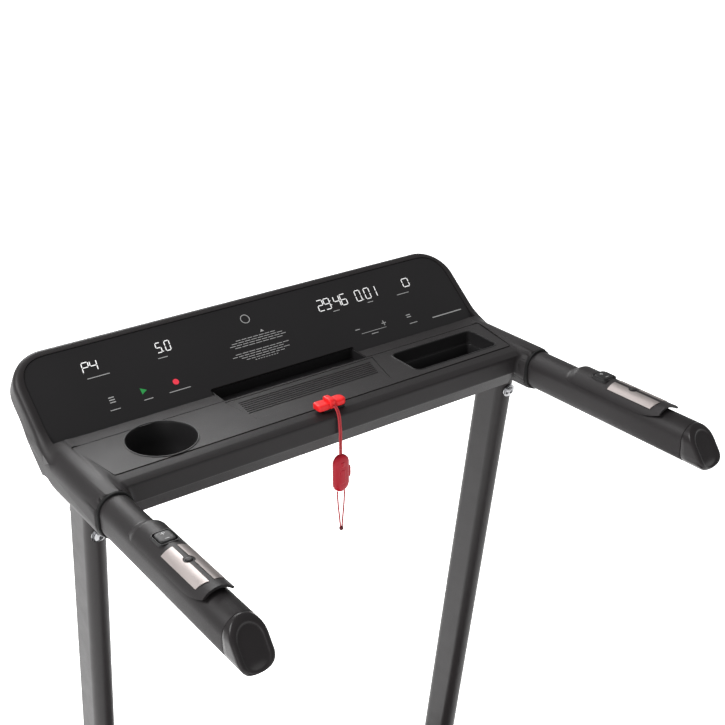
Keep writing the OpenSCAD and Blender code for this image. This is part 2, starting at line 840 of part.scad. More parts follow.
base_frame();
base_feet();
left_upright();
right_upright();
left_boot();
right_boot();
console_bolts();
frame_bolts();
console_beam();
console_lower_shell();
console_upper_shell();
display_panel();
display_board();
cup_holder();
storage_tray();
tablet_rest();
left_handlebar();
right_handlebar();
collars();
left_end_cap();
right_end_cap();
left_pulse_housing();
right_pulse_housing();
pulse_plates();
key_socket();
left_rocker();
right_rocker();
safety_key();
safety_cord();
cord_clip();
clip_lever();
cord_loop();
left_wheel();
right_wheel();
strut_cylinder();
strut_rod();
deck_frame();
rear_legs();
motor_plate();
running_board();
running_belt();
left_foot_rail();
right_foot_rail();
left_rear_cap();
right_rear_cap();
rear_feet();
deck_cushions();
front_roller();
rear_roller();
roller_shafts();
motor();
motor_pulley();
drive_belt();
motor_controller();
motor_hood();
motor_pan();
mains_inlet();
power_switch();
circuit_breaker();
deck_bolts();
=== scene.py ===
"""Folding home treadmill: the detailed surfaces, finishes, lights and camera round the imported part.

Lengths inside the piece functions are in millimetres in the console's own frame: X across, with the
runner's right positive, Y forward, Z up, from the line where the display face meets the shelf.
"""

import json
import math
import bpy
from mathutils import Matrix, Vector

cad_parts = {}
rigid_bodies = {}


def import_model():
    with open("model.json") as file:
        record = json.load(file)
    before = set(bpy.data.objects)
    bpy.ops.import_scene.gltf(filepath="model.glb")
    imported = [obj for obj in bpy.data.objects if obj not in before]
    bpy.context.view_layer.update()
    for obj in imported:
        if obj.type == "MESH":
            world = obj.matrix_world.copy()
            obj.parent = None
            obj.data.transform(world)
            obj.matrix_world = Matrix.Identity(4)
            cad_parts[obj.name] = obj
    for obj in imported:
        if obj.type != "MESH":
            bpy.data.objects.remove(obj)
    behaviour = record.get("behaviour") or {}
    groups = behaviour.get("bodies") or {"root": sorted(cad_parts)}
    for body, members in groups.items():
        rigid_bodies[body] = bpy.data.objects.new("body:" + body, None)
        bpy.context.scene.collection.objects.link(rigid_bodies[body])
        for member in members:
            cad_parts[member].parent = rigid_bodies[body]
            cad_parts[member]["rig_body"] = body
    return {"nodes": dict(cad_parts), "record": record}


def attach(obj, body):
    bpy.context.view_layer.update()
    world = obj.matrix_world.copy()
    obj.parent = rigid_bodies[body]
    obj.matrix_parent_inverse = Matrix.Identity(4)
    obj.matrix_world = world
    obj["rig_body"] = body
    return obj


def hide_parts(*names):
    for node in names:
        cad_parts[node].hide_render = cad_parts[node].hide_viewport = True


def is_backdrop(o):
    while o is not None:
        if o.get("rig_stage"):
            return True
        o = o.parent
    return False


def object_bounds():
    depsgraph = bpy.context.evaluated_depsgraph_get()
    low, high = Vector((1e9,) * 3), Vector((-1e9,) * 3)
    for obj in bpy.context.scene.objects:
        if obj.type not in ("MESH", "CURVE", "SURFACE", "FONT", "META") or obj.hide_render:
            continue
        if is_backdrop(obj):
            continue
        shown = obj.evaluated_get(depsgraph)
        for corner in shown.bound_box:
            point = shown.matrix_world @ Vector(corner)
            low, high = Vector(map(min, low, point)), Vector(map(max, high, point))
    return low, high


bl_info = {
    "name": "Folding Treadmill",
    "version": (1, 0, 0),
    "blender": (4, 5, 0),
    "location": "View3D > Sidebar > Treadmill",
    "description": "Builds the looks of a folding home treadmill round its fixed frame",
    "category": "Object",
}

import bmesh
import bpy
import numpy as np
from bpy.props import FloatProperty, FloatVectorProperty, PointerProperty
from bpy.types import Operator, Panel, PropertyGroup
from mathutils import Vector
from mathutils.geometry import delaunay_2d_cdt

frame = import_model()
CAD_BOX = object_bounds()

MM = 0.001
CONSOLE_AT = np.array([0.0, 0.580, 1.140])
FACE_SLOPE = math.radians(37.7)
FACE_UP = np.array([0.0, math.cos(FACE_SLOPE), math.sin(FACE_SLOPE)])
FACE_OUT = np.array([0.0, -math.sin(FACE_SLOPE), math.cos(FACE_SLOPE)])
BAR_X = 324.5
BAR_Z = -26.6
BAR_RISE = math.radians(1.55)
BAR_W, BAR_H = 41.5, 54.0
BAR_LEN = 427.0
SIDES = (("left", -1), ("right", 1))

SHELF_TOP, SHELF_FOOT, SHELF_HALF, SHELF_FRONT = 5.0, -27.0, 318.0, -136.0
BEVEL_AT = -113.0
ARM_R, ARM_FRONT = 25.0, -150.0
HOOD_HALF, HOOD_R, HOOD_MIDDLE, HOOD_REACH, HOOD_BACK = 348.0, 50.0, 16.0, 118.5, -34.0
CUP_AT = (-221.5, -66.0)
TRAY = ((149, -99), (293, -38))
SLOT = ((-110, -27), (118, 14))
SADDLE_FOOT = 18.5


# ---------------------------------------------------------------- settings


class TreadmillSizes(PropertyGroup):
    """Sizes of the pieces that a user may want to change."""

    cord_diameter: FloatProperty(
        name="Cord diameter", description="Thickness of each strand of the key's cord", default=0.0022, unit="LENGTH"
    )
    rim_round: FloatProperty(
        name="Hood edge", description="Radius of the display hood's rounded edge", default=0.011, unit="LENGTH"
    )
    lens: FloatProperty(name="Lens", description="Focal length on a 36 mm sensor, in millimetres", default=59.67)


def tint(name, description, default):
    """A colour setting."""
    return FloatVectorProperty(name=name, description=description, subtype="COLOR", size=3, default=default)


class TreadmillColours(PropertyGroup):
    """Colours of the finishes."""

    shell: tint("Casing", "Moulded casings", (0.0150, 0.0132, 0.0138))
    steel: tint("Painted steel", "Powder-coated tubes", (0.022, 0.0195, 0.0200))
    face: tint("Display face", "Overlay sheet on the hood", (0.0125, 0.0118, 0.0125))
    key: tint("Safety key", "Bright red of the pull key", (0.78, 0.018, 0.02))
    clip: tint("Cord clip", "Darker red of the clip", (0.36, 0.008, 0.02))


# ---------------------------------------------------------------- shader maths


class Wire:
    """A node socket whose sums and products add Math nodes."""

    def __init__(self, finish, socket):
        self.finish = finish
        self.socket = socket

    def _math(self, operation, first, second=None):
        return self.finish.node("ShaderNodeMath", {"operation": operation}, (first, second))

    def __add__(self, other):
        return self._math("ADD", self, other)

    __radd__ = __add__

    def __mul__(self, other):
        return self._math("MULTIPLY", self, other)

    __rmul__ = __mul__

    def __sub__(self, other):
        return self._math("SUBTRACT", self, other)

    def __rsub__(self, other):
        return self._math("SUBTRACT", other, self)

    def wave(self):
        return self._math("SINE", self)


class Finish:
    """One node-based material, built round a Principled BSDF."""

    made = {}

    def __init__(self, name, colour, rough=0.5, metal=0.0, coat=0.0, specular=0.5):
        self.material = bpy.data.materials.new(name)
        self.material.use_nodes = True
        self.tree = self.material.node_tree
        self.tree.nodes.clear()
        output = self.tree.nodes.new("ShaderNodeOutputMaterial")
        self.shader = self.tree.nodes.new("ShaderNodeBsdfPrincipled")
        self.tree.links.new(self.shader.outputs[0], output.inputs[0])
        self.colour = tuple(colour[:3])
        self.shader.inputs["Base Color"].default_value = self.colour + (1.0,)
        self.shader.inputs["Roughness"].default_value = rough
        self.shader.inputs["Metallic"].default_value = metal
        self.shader.inputs["Coat Weight"].default_value = coat
        self.shader.inputs["Specular IOR Level"].default_value = specular
        Finish.made[name] = self

    def node(self, kind, settings=(), values=(), out=0):
        """A node of that kind: settings are set first, then the values or links of its inputs."""
        new = self.tree.nodes.new(kind)
        for key, value in dict(settings).items():
            setattr(new, key, value)
        pairs = values.items() if isinstance(values, dict) else enumerate(values)
        for key, value in pairs:
            if value is None:
                continue
            if isinstance(value, Wire):
                self.tree.links.new(value.socket, new.inputs[key])
            else:
                new.inputs[key].default_value = value
        return Wire(self, new.outputs[out])

    def place(self, stretch=(1, 1, 1)):
        """Object coordinates in metres, stretched."""
        spot = self.node("ShaderNodeTexCoord", out=3)
        return self.node("ShaderNodeMapping", {}, {0: spot, 3: stretch})

    def noise(self, scale, detail=2.0, stretch=(1, 1, 1), rough=0.5):
        values = {"Vector": self.place(stretch), "Scale": scale, "Detail": detail, "Roughness": rough}
        return self.node("ShaderNodeTexNoise", {}, values)

    def cells(self, scale, stretch=(1, 1, 1)):
        return self.node("ShaderNodeTexVoronoi", {}, {"Vector": self.place(stretch), "Scale": scale})

    def mix(self, mask, first, second):
        """The colour between two colours."""
        values = {0: mask, 6: first + (1.0,), 7: second + (1.0,)}
        return self.node("ShaderNodeMix", {"data_type": "RGBA"}, values, out=2)

    def feed(self, name, wire):
        self.tree.links.new(wire.socket, self.shader.inputs[name])
        return self

    def bump(self, height, distance, strength=1.0):
        """Bump by a height from 0 to 1, at a distance in metres."""
        values = {"Strength": strength, "Distance": distance, "Height": height}
        return self.feed("Normal", self.node("ShaderNodeBump", {}, values))

    def mottle(self, spread, scale, detail=3.0, stretch=(1, 1, 1)):
        """Colour that wanders by a share of itself over a few centimetres."""
        low = tuple(c * (1 - spread) for c in self.colour)
        high = tuple(c * (1 + spread) for c in self.colour)
        return self.feed("Base Color", self.mix(self.noise(scale, detail, stretch), low, high))


def moulded(name, colour, rough, grain, depth, coat=0.0):
    """Moulded plastic: fine spark-eroded grain, a slow drift of colour, and small changes of gloss."""
    finish = Finish(name, colour, rough, coat=coat, specular=0.2)
    finish.mottle(0.10, 9.0)
    skin = finish.noise(grain, 3.0, rough=0.65)
    finish.feed("Roughness", finish.noise(22.0) * 0.10 + skin * 0.10 + (rough - 0.10))
    return finish.bump(skin, depth)


def painted(name, colour, rough, depth=0.00006):
    """Powder coat: a soft orange peel over steel, a little glossier than the casings."""
    finish = Finish(name, colour, rough, specular=0.22)
    finish.mottle(0.06, 14.0)
    finish.feed("Roughness", finish.noise(60.0) * 0.12 + (rough - 0.06))
    return finish.bump(finish.noise(900.0, 2.0), depth)


def metal(name, colour, rough, stretch, depth=0.00003):
    """Brushed or rolled metal: streaks stretched along one axis."""
    finish = Finish(name, colour, rough, metal=1.0)
    streaks = finish.noise(300.0, 3.0, stretch)
    finish.feed("Roughness", streaks * 0.16 + (rough - 0.08))
    finish.mottle(0.05, 120.0, 2.0, stretch)
    return finish.bump(streaks, depth)


def printed(name, colour, glow):
    """Ink or a lit digit: even colour with a faint speckle."""
    finish = Finish(name, colour, 0.5)
    finish.mottle(0.04, 400.0)
    finish.shader.inputs["Emission Color"].default_value = tuple(colour) + (1.0,)
    finish.shader.inputs["Emission Strength"].default_value = glow
    return finish


def make_finishes():
    """Every finish on the treadmill, by name."""
    hue = bpy.context.scene.treadmill_colours
    moulded("casing", tuple(hue.shell), 0.46, 1500.0, 0.00009)
    moulded("casing_smooth", tuple(hue.shell), 0.30, 1500.0, 0.00003)
    moulded("grip", tuple(hue.shell), 0.50, 1100.0, 0.00012)
    moulded("face", tuple(hue.face), 0.42, 2600.0, 0.00003)
    moulded("dark", (0.012, 0.0115, 0.012), 0.42, 1600.0, 0.00005)
    # gap: near-black painted shade, used on the gasket rings so they stand for the shadow gap between each arm's end
    # and its handlebar tube
    moulded("gap", (0.004, 0.004, 0.004), 0.7, 900.0, 0.00004)
    moulded("key_red", tuple(hue.key), 0.34, 900.0, 0.00003)
    moulded("clip_red", tuple(hue.clip), 0.32, 900.0, 0.00003)
    moulded("rubber", (0.016, 0.016, 0.0165), 0.72, 700.0, 0.00015)
    moulded("tyre", (0.02, 0.02, 0.021), 0.6, 500.0, 0.0001)
    painted("steel", tuple(hue.steel), 0.40)
    painted("strut_paint", (0.012, 0.012, 0.013), 0.22)
    metal("plates", (0.34, 0.305, 0.295), 0.45, (1, 0.06, 1))
    metal("chrome", (0.34, 0.34, 0.35), 0.2, (1, 1, 1), 0.00001)
    metal("zinc", (0.62, 0.62, 0.64), 0.34, (0.08, 1, 1))
    printed("lit_white", (0.8, 0.8, 0.8), 0.35)
    moulded("knot", (0.09, 0.012, 0.016), 0.5, 900.0, 0.0001)
    printed("ink_white", (0.34, 0.34, 0.34), 0.0)
    printed("lit_green", (0.01, 0.26, 0.05), 0.1)
    printed("lit_red", (0.78, 0.03, 0.06), 0.1)
    circuit = Finish("circuit", (0.015, 0.11, 0.05), 0.3)
    tracks = circuit.cells(260.0, (1, 1, 1))
    circuit.feed("Base Color", circuit.mix(tracks, (0.01, 0.08, 0.035), (0.03, 0.2, 0.09)))
    circuit.bump(tracks, 0.0001)
    cord = Finish("cord_red", (0.42, 0.012, 0.02), 0.62)
    strands = cord.noise(1400.0, 2.0, (1, 1, 0.5))
    cord.feed("Base Color", cord.mix(strands, (0.26, 0.006, 0.012), (0.52, 0.02, 0.03)))
    cord.bump(strands, 0.0002)
    board = Finish("board", (0.30, 0.19, 0.11), 0.6)
    fibres = board.noise(420.0, 4.0, (1, 0.3, 1))
    board.feed("Base Color", board.mix(fibres, (0.20, 0.12, 0.07), (0.38, 0.26, 0.16)))
    board.bump(fibres, 0.0002)
    belt = Finish("belt", (0.017, 0.017, 0.018), 0.62)
    belt.mottle(0.2, 30.0)
    waffle = diamonds(belt, 0.0045)
    belt.feed("Roughness", waffle * 0.12 + 0.52)
    belt.bump(waffle, 0.0004)
    iron = Finish("iron", (0.03, 0.03, 0.033), 0.5)
    iron.mottle(0.15, 50.0)
    iron.bump(iron.noise(260.0, 4.0), 0.0004)
    floor = Finish("floor", (0.93, 0.93, 0.93), 0.75)
    floor.mottle(0.01, 0.6)
    floor.shader.inputs["Emission Color"].default_value = (1, 1, 1, 1)
    floor.shader.inputs["Emission Strength"].default_value = 1.0


def diamonds(finish, pitch):
    """1 at the crown of each diamond and 0 in the grooves: the product of two slanted sine waves."""
    spot = finish.node("ShaderNodeSeparateXYZ", {}, [finish.place()])
    across = Wire(finish, spot.socket.node.outputs[0])
    along = Wire(finish, spot.socket.node.outputs[1])
    turn = 2 * math.pi / pitch
    first = ((across + along) * turn).wave()
    second = ((across - along) * turn).wave()
    return first * second * 0.5 + 0.5


# ---------------------------------------------------------------- places


def console(points):
    """Console millimetres to metres in the treadmill's frame."""
    return np.asarray(points, float) * MM + CONSOLE_AT


def face_points(x, h, d):
    """Console points of x across the display face, h up its slope and d out of it."""
    x, h, d = np.broadcast_arrays(x, h, d)
    return np.stack([x, h * FACE_UP[1] + d * FACE_OUT[1], h * FACE_UP[2] + d * FACE_OUT[2]], -1)


def bar_points(side, x, y, z):
    """Console points of a handlebar's own x, y and z, for side -1 or 1."""
    x, y, z = np.broadcast_arrays(x, y, z)
    c, s = math.cos(BAR_RISE), math.sin(BAR_RISE)
    return np.stack([side * (BAR_X + x), y * c + z * s, BAR_Z - y * s + z * c], -1)


# ---------------------------------------------------------------- meshes


def soft_min(a, b, k):
    """The smaller of two fields, rounded over a width k where they are close."""
    h = np.maximum(k - np.abs(a - b), 0) / k
    return np.minimum(a, b) - h * h * k / 4


def soft_max(a, b, k):
    """The larger of two fields, rounded over a width k where they are close."""
    return -soft_min(-a, -b, k)


def flat_oval(w, h, n=72):
    """n points (x, z) round a flat oval: two half circles of diameter w joined by straight sides."""
    r, lift = w / 2, (h - w) / 2
    t = np.linspace(0, 2 * np.pi, n, endpoint=False) + np.pi / n
    return r * np.cos(t), r * np.sin(t) + lift * np.sign(np.sin(t))


def round_rect(low, high, r, n=8):
    """Points round a rectangle whose corners are quarter circles of radius r, anticlockwise."""
    out = []
    left, right, foot, top = low[0] + r, high[0] - r, low[1] + r, high[1] - r
    for cx, cy, start in ((right, top, 0), (left, top, 90), (left, foot, 180), (right, foot, 270)):
        a = np.radians(start + np.linspace(0, 90, n))
        out.append(np.stack([cx + r * np.cos(a), cy + r * np.sin(a)], -1))
    return np.concatenate(out)


def round_corners(corners, radii, n=6):
    """A polygon with each corner replaced by an arc-like curve: a quadratic Bezier from r before to r after it."""
    corners = np.asarray(corners, float)
    radii = np.broadcast_to(radii, len(corners))
    t = np.linspace(0, 1, n)[:, None]
    out = []
    for i, corner in enumerate(corners):
        back, ahead = corners[i - 1] - corner, corners[(i + 1) % len(corners)] - corner
        a = corner + radii[i] * back / np.linalg.norm(back)
        b = corner + radii[i] * ahead / np.linalg.norm(ahead)
        out.append((1 - t) ** 2 * a + 2 * t * (1 - t) * corner + t**2 * b)
    return np.concatenate(out)


def inset(outline, by):
    """A closed plane outline moved inwards by a distance: each point goes along the mean of its two edge normals."""
    ahead = np.roll(outline, -1, 0) - outline
    ahead /= np.linalg.norm(ahead, axis=1, keepdims=True) + 1e-12
    normal = np.stack([-ahead[:, 1], ahead[:, 0]], -1)
    both = normal + np.roll(normal, 1, 0)
    size = np.sum(both * both, 1, keepdims=True) / 2
    x, y = outline[:, 0], outline[:, 1]
    turn = np.sign(np.sum(x * np.roll(y, -1) - np.roll(x, -1) * y))
    return outline + turn * by * both / np.maximum(size, 0.5)


def skin(rings):
    """Points and faces of a closed surface: quads between rings, and a fan about the middle of each end ring."""
    rings = np.asarray(rings, float)
    n, m = rings.shape[:2]
    i, j = np.meshgrid(np.arange(n - 1), np.arange(m), indexing="ij")
    a, b = i * m + j, i * m + (j + 1) % m
    faces = np.stack([a, b, b + m, a + m], -1).reshape(-1, 4).tolist()
    points = np.concatenate([rings.reshape(-1, 3), rings[0].mean(0)[None], rings[-1].mean(0)[None]])
    j = np.arange(m)
    faces += np.stack([(j + 1) % m, j, np.full(m, n * m)], -1).tolist()
    last = (n - 1) * m
    faces += np.stack([last + j, last + (j + 1) % m, np.full(m, n * m + 1)], -1).tolist()
    return points, faces


def band(rings):
    """Points and faces of a surface closed both ways, like a ring or frame: the last ring joins the first."""
    rings = np.asarray(rings, float)
    n, m = rings.shape[:2]
    i, j = np.meshgrid(np.arange(n), np.arange(m), indexing="ij")
    a, b = i * m + j, i * m + (j + 1) % m
    c, d = ((i + 1) % n) * m + (j + 1) % m, ((i + 1) % n) * m + j
    return rings.reshape(-1, 3), np.stack([a, b, c, d], -1).reshape(-1, 4).tolist()


def slab(outer, inner):
    """Points and faces of a wall between two open grids of the same shape, closed round their borders."""
    outer, inner = np.asarray(outer, float), np.asarray(inner, float)
    n, m = outer.shape[:2]
    grid = np.arange(n * m).reshape(n, m)
    quad = np.stack([grid[:-1, :-1], grid[:-1, 1:], grid[1:, 1:], grid[1:, :-1]], -1).reshape(-1, 4)
    border = np.concatenate([grid[0, :-1], grid[:-1, -1], grid[-1, :0:-1], grid[:0:-1, 0]])
    after = np.roll(border, -1)
    rim = np.stack([after, border, border + n * m, after + n * m], -1)
    points = np.concatenate([outer.reshape(-1, 3), inner.reshape(-1, 3)])
    return points, np.concatenate([quad, quad[:, ::-1] + n * m, rim]).tolist()


def plate(outlines, place, low, high):
    """Points and faces of a flat plate between two heights, with holes: its outlines are triangulated once."""
    flat = np.concatenate(outlines)
    edges, start = [], 0
    for line in outlines:
        i = start + np.arange(len(line))
        edges += np.stack([i, np.roll(i, -1)], -1).tolist()
        start += len(line)
    spots, _, faces, *_ = delaunay_2d_cdt([Vector(p) for p in flat], edges, [], 0, 1e-4)
    spots = np.array([tuple(p) for p in spots])
    faces = np.array(faces)
    middle = spots[faces].mean(1)
    kept = inside(middle, outlines[0])
    for hole in outlines[1:]:
        kept &= ~inside(middle, hole)
    faces = faces[kept]
    count = len(spots)
    a, b = faces.ravel(), np.roll(faces, -1, 1).ravel()
    lone = ~np.isin(a * count + b, b * count + a)
    a, b = a[lone], b[lone]
    walls = np.stack([b, a, a + count, b + count], -1)
    points = np.concatenate([place(spots, high), place(spots, low)])
    return points, faces.tolist() + (faces[:, ::-1] + count).tolist() + walls.tolist()


def inside(points, outline):
    """Which points lie in a closed outline, by counting the edges to the right of each."""
    x, y = points[:, :1], points[:, 1:]
    x0, y0 = outline[:, 0], outline[:, 1]
    x1, y1 = np.roll(x0, -1), np.roll(y0, -1)
    rises = (y0 > y) != (y1 > y)
    with np.errstate(divide="ignore", invalid="ignore"):
        cross = x < (x1 - x0) * (y - y0) / (y1 - y0) + x0
    return (np.sum(rises & cross, 1) % 2).astype(bool)


def volume(points, faces):
    """Six times the signed volume under a mesh: positive when its faces point outwards."""
    total = 0.0
    for size in (3, 4):
        some = np.array([f for f in faces if len(f) == size])
        for k in range(1, size - 1):
            if len(some):
                a, b, c = points[some[:, 0]], points[some[:, k]], points[some[:, k + 1]]
                total += np.sum(np.cross(a, b) * c)
    return total


def join(parts):
    """One mesh from several (points, faces)."""
    points, faces, start = [], [], 0
    for p, f in parts:
        if volume(p - p.mean(0), f) < 0:
            f = [q[::-1] for q in f]
        points.append(p)
        faces += [[v + start for v in q] for q in f]
        start += len(p)
    return np.concatenate(points), faces


def piece(name, parts, finish, body, slot, hides=(), sharp=32.0, bevel=0.0, segments=2, in_metres=False):
    """An object from closed meshes in console millimetres, riding on a body and standing for its CAD nodes."""
    points, faces = join(parts)
    mesh = bpy.data.meshes.new(name)
    mesh.from_pydata((points if in_metres else console(points)).tolist(), [], faces)
    return dress(name, mesh, finish, body, slot, hides, sharp, bevel, segments)


def dress(name, mesh, finish, body, slot, hides=(), sharp=32.0, bevel=0.0, segments=2):
    """Gives a mesh its smoothing, bevel, finish and body."""
    mesh.validate()
    mesh.polygons.foreach_set("use_smooth", [True] * len(mesh.polygons))
    mesh.set_sharp_from_angle(angle=math.radians(sharp))
    mesh.materials.clear()
    mesh.materials.append(Finish.made[finish].material)
    obj = bpy.data.objects.new(name, mesh)
    bpy.context.scene.collection.objects.link(obj)
    if bevel:
        edge = obj.modifiers.new("Edge", "BEVEL")
        edge.width = bevel * MM
        edge.segments = segments
        edge.limit_method = "ANGLE"
        edge.angle_limit = math.radians(34)
        edge.harden_normals = True
    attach(obj, body)
    if hides:
        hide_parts(*hides)
    return obj


def cut(obj, parts):
    """Takes closed shapes away from a piece, and keeps the result as its mesh."""
    points, faces = join(parts)
    mesh = bpy.data.meshes.new("cutter")
    mesh.from_pydata(console(points).tolist(), [], faces)
    tool = bpy.data.objects.new("cutter", mesh)
    bpy.context.scene.collection.objects.link(tool)
    knife = obj.modifiers.new("Cut", "BOOLEAN")
    knife.object, knife.operation, knife.solver = tool, "DIFFERENCE", "EXACT"
    knife.use_self = True
    graph = bpy.context.evaluated_depsgraph_get()
    result = bpy.data.meshes.new_from_object(obj.evaluated_get(graph))
    obj.modifiers.remove(knife)
    obj.data = result
    bpy.data.objects.remove(tool)
    result.polygons.foreach_set("use_smooth", [True] * len(result.polygons))
    result.set_sharp_from_angle(angle=math.radians(32))
    return obj


def prism(outline, place, low, high):
    """A closed prism on an outline between two heights."""
    return skin(np.stack([place(outline, low), place(outline, high)]))


def on_plan(spots, z):
    """Plan points (x, y) at a height."""
    return np.concatenate([spots, np.full((len(spots), 1), float(z))], 1)


def on_face(spots, d):
    """Points (x, h) of the display face at a distance out of it."""
    return face_points(spots[:, 0], spots[:, 1], d)


def well(outlines, heights):
    """A thick-walled pocket: its rings go up the outside, over the rim and down the inside."""
    return skin(np.stack([on_plan(o, z) for o, z in zip(outlines, heights)]))


def coated(node, name, finish, bevel=0.0, sharp=32.0, body=None, slot=None, segments=2):
    """A CAD node with its edges rounded: a merged copy of it stands in its place."""
    source = frame["nodes"][node]
    mesh = source.data.copy()
    work = bmesh.new()
    work.from_mesh(mesh)
    bmesh.ops.remove_doubles(work, verts=work.verts, dist=1e-6)
    bmesh.ops.dissolve_limit(work, angle_limit=math.radians(0.5), verts=work.verts, edges=work.edges)
    work.to_mesh(mesh)
    work.free()
    slots = {s["node"]: s["material_slot"] for s in frame["record"]["subparts"]}
    return dress(name, mesh, finish, body or source["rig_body"], slot or slots[node], (node,), sharp, bevel, segments)


# ---------------------------------------------------------------- operators


class TREADMILL_OT_stage(Operator):
    """Pale floor, soft lights and the camera"""

    bl_idname = "treadmill.stage"
    bl_label = "Stage"

    def execute(self, context):
        scene = context.scene
        scene.view_settings.view_transform = "Standard"
        size = 30.0
        mesh = bpy.data.meshes.new("floor")
        spots = [(-size, -size, -0.001), (size, -size, -0.001), (size, size, -0.001), (-size, size, -0.001)]
        mesh.from_pydata(spots, [], [(0, 1, 2, 3)])
        mesh.materials.append(Finish.made["floor"].material)
        floor = bpy.data.objects.new("floor", mesh)
        scene.collection.objects.link(floor)
        floor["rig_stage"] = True
        world = bpy.data.worlds.new("studio")
        scene.world = world
        world.use_nodes = True
        world.node_tree.nodes["Background"].inputs[0].default_value = (1, 1, 1, 1)
        world.node_tree.nodes["Background"].inputs[1].default_value = 0.5
        aim = Vector((0.0, 0.55, 1.1))
        lamps = (
            ("key_light", (-2.2, 1.0, 3.2), 1.5, 85),
            ("back_light", (0.4, 3.2, 2.7), 1.8, 75),
            ("fill_light", (-3.0, -2.4, 1.6), 1.8, 26),
        )
        for name, at, wide, watts in lamps:
            light = bpy.data.lights.new(name, "AREA")
            light.shape, light.size, light.energy = "DISK", wide, watts
            lamp = bpy.data.objects.new(name, light)
            lamp.location = at
            lamp.rotation_euler = (aim - Vector(at)).to_track_quat("-Z", "Y").to_euler()
            scene.collection.objects.link(lamp)
        camera = bpy.data.cameras.new("camera")
        camera.lens, camera.sensor_width = context.scene.treadmill_sizes.lens, 36.0
        camera.clip_end = 200.0
        eye = bpy.data.objects.new("camera", camera)
        eye.location = (-0.7737, -0.6678, 1.857)
        eye.rotation_euler = (math.radians(64.55), 0.0, math.radians(-35.85))
        scene.collection.objects.link(eye)
        scene.camera = eye
        return {"FINISHED"}


STRAND = [[-9, -128.3, 11], [-9, -130.6, 10.8], [-9, -133.4, 9], [-8.9, -136.2, 5.6], [-8.7, -138, 1],
    [-8.5, -139, -5], [-8.3, -139.6, -13], [-8, -140, -22], [-8, -140, -33], [-8, -140, -44], [-8, -140, -55]]
TAIL = [[-5.5, 0, -109], [-5.5, 0, -113], [-5.3, 0, -119], [-4.8, 0, -127], [-4.1, 0, -135], [-3.3, 0, -143],
    [-2.5, 0, -151], [-1.9, 0, -157], [-1.6, 0, -161], [-1.6, 0, -164]]


def smooth_line(points, n):
    """n points on a Catmull-Rom curve through the given ones."""
    p = np.asarray(points, float)
    p = np.concatenate([[2 * p[0] - p[1]], p, [2 * p[-1] - p[-2]]])
    t = np.linspace(0, len(p) - 3 - 1e-9, n)
    i = t.astype(int)
    t = (t - i)[:, None]
    a, b, c, d = p[i], p[i + 1], p[i + 2], p[i + 3]
    return 0.5 * (2 * b + (c - a) * t + (2 * a - 5 * b + 4 * c - d) * t**2 + (3 * b - a - 3 * c + d) * t**3)


def cord_curve(name, points, thick):
    """A round cord along points in metres."""
    curve = bpy.data.curves.new(name, "CURVE")
    curve.dimensions = "3D"
    curve.bevel_depth = thick / 2
    curve.bevel_resolution = 3
    curve.use_fill_caps = True
    line = curve.splines.new("POLY")
    line.points.add(len(points) - 1)
    line.points.foreach_set("co", np.concatenate([points, np.ones((len(points), 1))], 1).ravel())
    line.use_smooth = True
    curve.materials.append(Finish.made["cord_red"].material)
    obj = bpy.data.objects.new(name, curve)
    bpy.context.scene.collection.objects.link(obj)
    return obj


class TREADMILL_OT_cords(Operator):
    """Clip, its lever, the two strands from the key to the clip, and the two tails to the knot"""

    bl_idname = "treadmill.cords"
    bl_label = "Safety cord"

    def execute(self, context):
        thick = context.scene.treadmill_sizes.cord_diameter
        pill = capsule((-8, -140), -108.9, -55.1, 12.3, 5.4)
        clip = piece("key_cord_clip", [pill], "clip_red", "key", "clip_red", ("cord_clip",))
        lever = pebble((4.4, -140, -83), (2.6, 2.2, 8.6), 0.5, 0.6)
        piece("clip_side_lever", [lever], "clip_red", "clip_lever", "clip_red", ("clip_lever",))
        marks = [
            pebble((-8, -145.2, -68), (3.4, 1.0, 3.4), 0.5, 1.0),
            pebble((-8, -145.2, -86), (4.2, 0.7, 10), 0.4, 0.6),
        ]
        piece("clip_boss", marks, "clip_red", "key", "clip_red")
        knot = pebble((-8, -140, -167), (3.0, 2.9, 3.1), 0.8, 1.0)
        knot = piece("cord_knot", [knot], "knot", "key", "cord_red", ("cord_loop",))
        strand = console(smooth_line(STRAND, 26))
        for name, shift in (("key_cord_left", -1.3), ("key_cord_right", 1.3)):
            points = strand + np.array([shift * MM, 0, 0])
            cord = cord_curve(name, points, thick)
            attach(cord, "key")
            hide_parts("safety_cord")
        for name, side in (("key_tail_left", 1), ("key_tail_right", -1)):
            points = console(smooth_line(np.array(TAIL, float) * (side, 1, 1) + (-8, -140, 0), 20))
            tail = cord_curve(name, points, thick)
            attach(tail, "key")
            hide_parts("cord_loop")
        return {"FINISHED"}


def pebble(at, half, e1, e2, place=None, n=40, m=22):
    """A superellipsoid: cosines and sines raised to e1 up it and e2 round it, from a boxy 0.2 to an egg's 1."""
    power = lambda w, e: np.sign(w) * np.abs(w) ** e
    v = np.linspace(-0.995, 0.995, m)[:, None] * np.pi / 2
    u = np.linspace(0, 2 * np.pi, n, endpoint=False)[None, :]
    x = at[0] + half[0] * power(np.cos(v), e1) * power(np.cos(u), e2)
    y = at[1] + half[1] * power(np.cos(v), e1) * power(np.sin(u), e2)
    z = at[2] + half[2] * power(np.sin(v), e1) + 0 * u
    return skin(place(x, y, z) if place else np.stack([x, y, z], -1))


def ring_plan(r, n=32, at=(0.0, 0.0)):
    """Points round a circle."""
    t = np.linspace(0, 2 * np.pi, n, endpoint=False)
    return np.stack([at[0] + r * np.cos(t), at[1] + r * np.sin(t)], -1)


